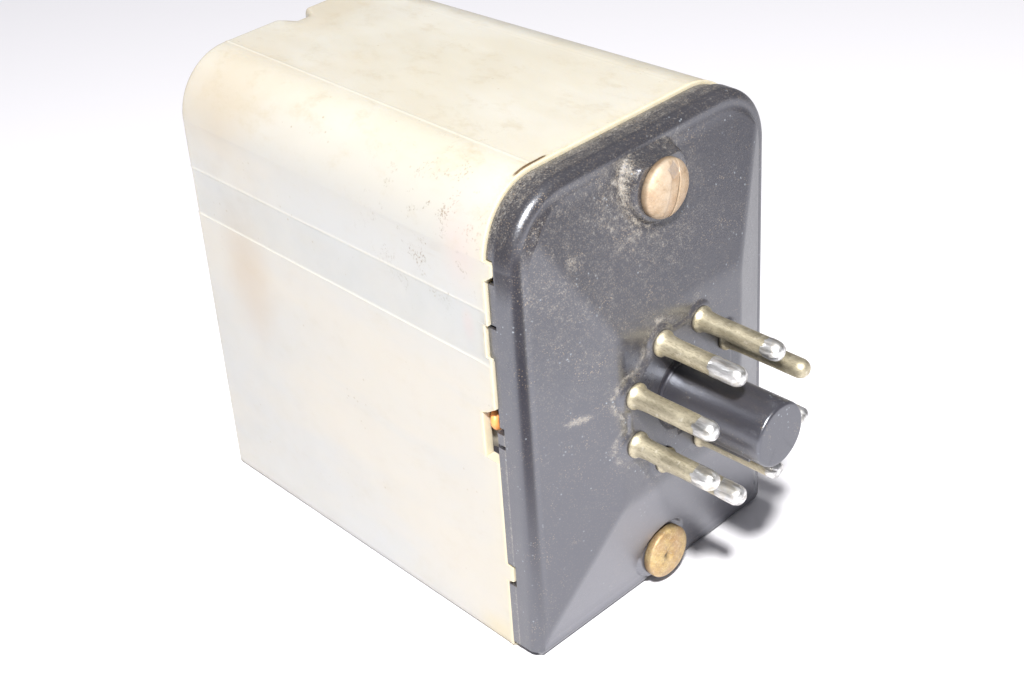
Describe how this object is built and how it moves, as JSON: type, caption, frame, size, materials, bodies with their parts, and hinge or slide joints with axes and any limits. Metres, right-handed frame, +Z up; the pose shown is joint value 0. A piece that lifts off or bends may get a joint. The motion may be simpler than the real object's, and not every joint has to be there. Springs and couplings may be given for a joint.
{
  "type": "industrial control relay",
  "caption": "Plug-in control relay: round pin plug on a black moulded base, milky push-on cover, hinged-armature change-over mechanism inside.",
  "frame": {"origin": "on the plug axis, in the plane of the pin plateau that meets the socket", "axes": "-Y along the pins out of the base, +Y towards the closed end of the cover, +Z up along the long side of the base, +X to the right seen from the pin side"},
  "size_m": [0.0426, 0.0801, 0.0617],
  "materials": {
    "phenolic_black": "moulded phenolic, glossy with dust and fine scratches",
    "nylon_milky": "milky yellowed translucent moulded nylon, satin",
    "pin_nickel": "nickel-plated brass, dulled, with bright solder-coated tips",
    "screw_copper": "brass with a copper-coloured patina",
    "plated_steel": "zinc-plated pressed steel",
    "core_iron": "nickel-plated soft iron",
    "bobbin_nylon": "natural moulded nylon",
    "enamelled_wire": "layers of enamelled copper wire",
    "coil_tape": "varnished cloth tape",
    "phenolic_brown": "brown moulded phenolic",
    "contact_brass": "rolled brass",
    "blade_bronze": "phosphor bronze leaf",
    "contact_silver": "silver contact button",
    "spring_steel": "drawn spring wire",
    "wire_blue": "insulated hookup wire",
    "wire_white": "insulated hookup wire",
    "wire_orange": "varnished sleeving on the coil lead",
    "braid_copper": "flexible bare copper braid"
  },
  "bodies": {
    "base_unit": {"base": "phenolic_black", "pin_1": "pin_nickel", "pin_2": "pin_nickel", "pin_3": "pin_nickel", "pin_4": "pin_nickel", "pin_5": "pin_nickel", "pin_6": "pin_nickel", "pin_7": "pin_nickel", "pin_8": "pin_nickel", "upper_base_screw": "screw_copper", "lower_base_screw": "screw_copper", "mounting_bracket": "plated_steel", "yoke": "plated_steel", "core": "core_iron", "core_screw": "plated_steel", "coil_bobbin": "bobbin_nylon", "coil_winding": "enamelled_wire", "coil_tape": "coil_tape", "contact_block_lower": "phenolic_brown", "contact_block_middle": "phenolic_brown", "contact_block_upper": "phenolic_brown", "nc_terminal_1": "contact_brass", "nc_terminal_2": "contact_brass", "no_terminal_1": "contact_brass", "no_terminal_2": "contact_brass", "nc_contact_1": "contact_silver", "nc_contact_2": "contact_silver", "no_contact_1": "contact_silver", "no_contact_2": "contact_silver", "spring_bracket": "plated_steel", "block_screws": "plated_steel", "return_spring": "spring_steel", "nc_wire_1": "wire_blue", "nc_wire_2": "wire_blue", "no_wire_1": "wire_white", "no_wire_2": "wire_white", "coil_lead_1": "wire_orange", "coil_lead_2": "wire_orange", "pigtail_1": "braid_copper", "pigtail_2": "braid_copper"},
    "armature_unit": {"armature": "core_iron", "residual_shim": "contact_brass", "moving_contact_carrier": "phenolic_brown", "carrier_rivets": "contact_brass", "moving_blade_1": "blade_bronze", "moving_blade_2": "blade_bronze", "moving_contact_1": "contact_silver", "moving_contact_2": "contact_silver"},
    "cover_unit": {"cover": "nylon_milky"}
  },
  "joints": [
    {"name": "cover_slide", "type": "slide", "parent": "base_unit", "child": "cover_unit", "axis": [0, 1, 0], "range_m": [0, 0.058]},
    {"name": "armature_pivot", "type": "hinge", "parent": "base_unit", "child": "armature_unit", "pos_m": [0, 0.05045, 0.0043], "axis": [1, 0, 0], "range_deg": [-3.4, 0], "stiffness_Nm_per_rad": 0.03, "springref_deg": 11.46, "deforming": ["return_spring", "pigtail_1", "pigtail_2"]}
  ]
}
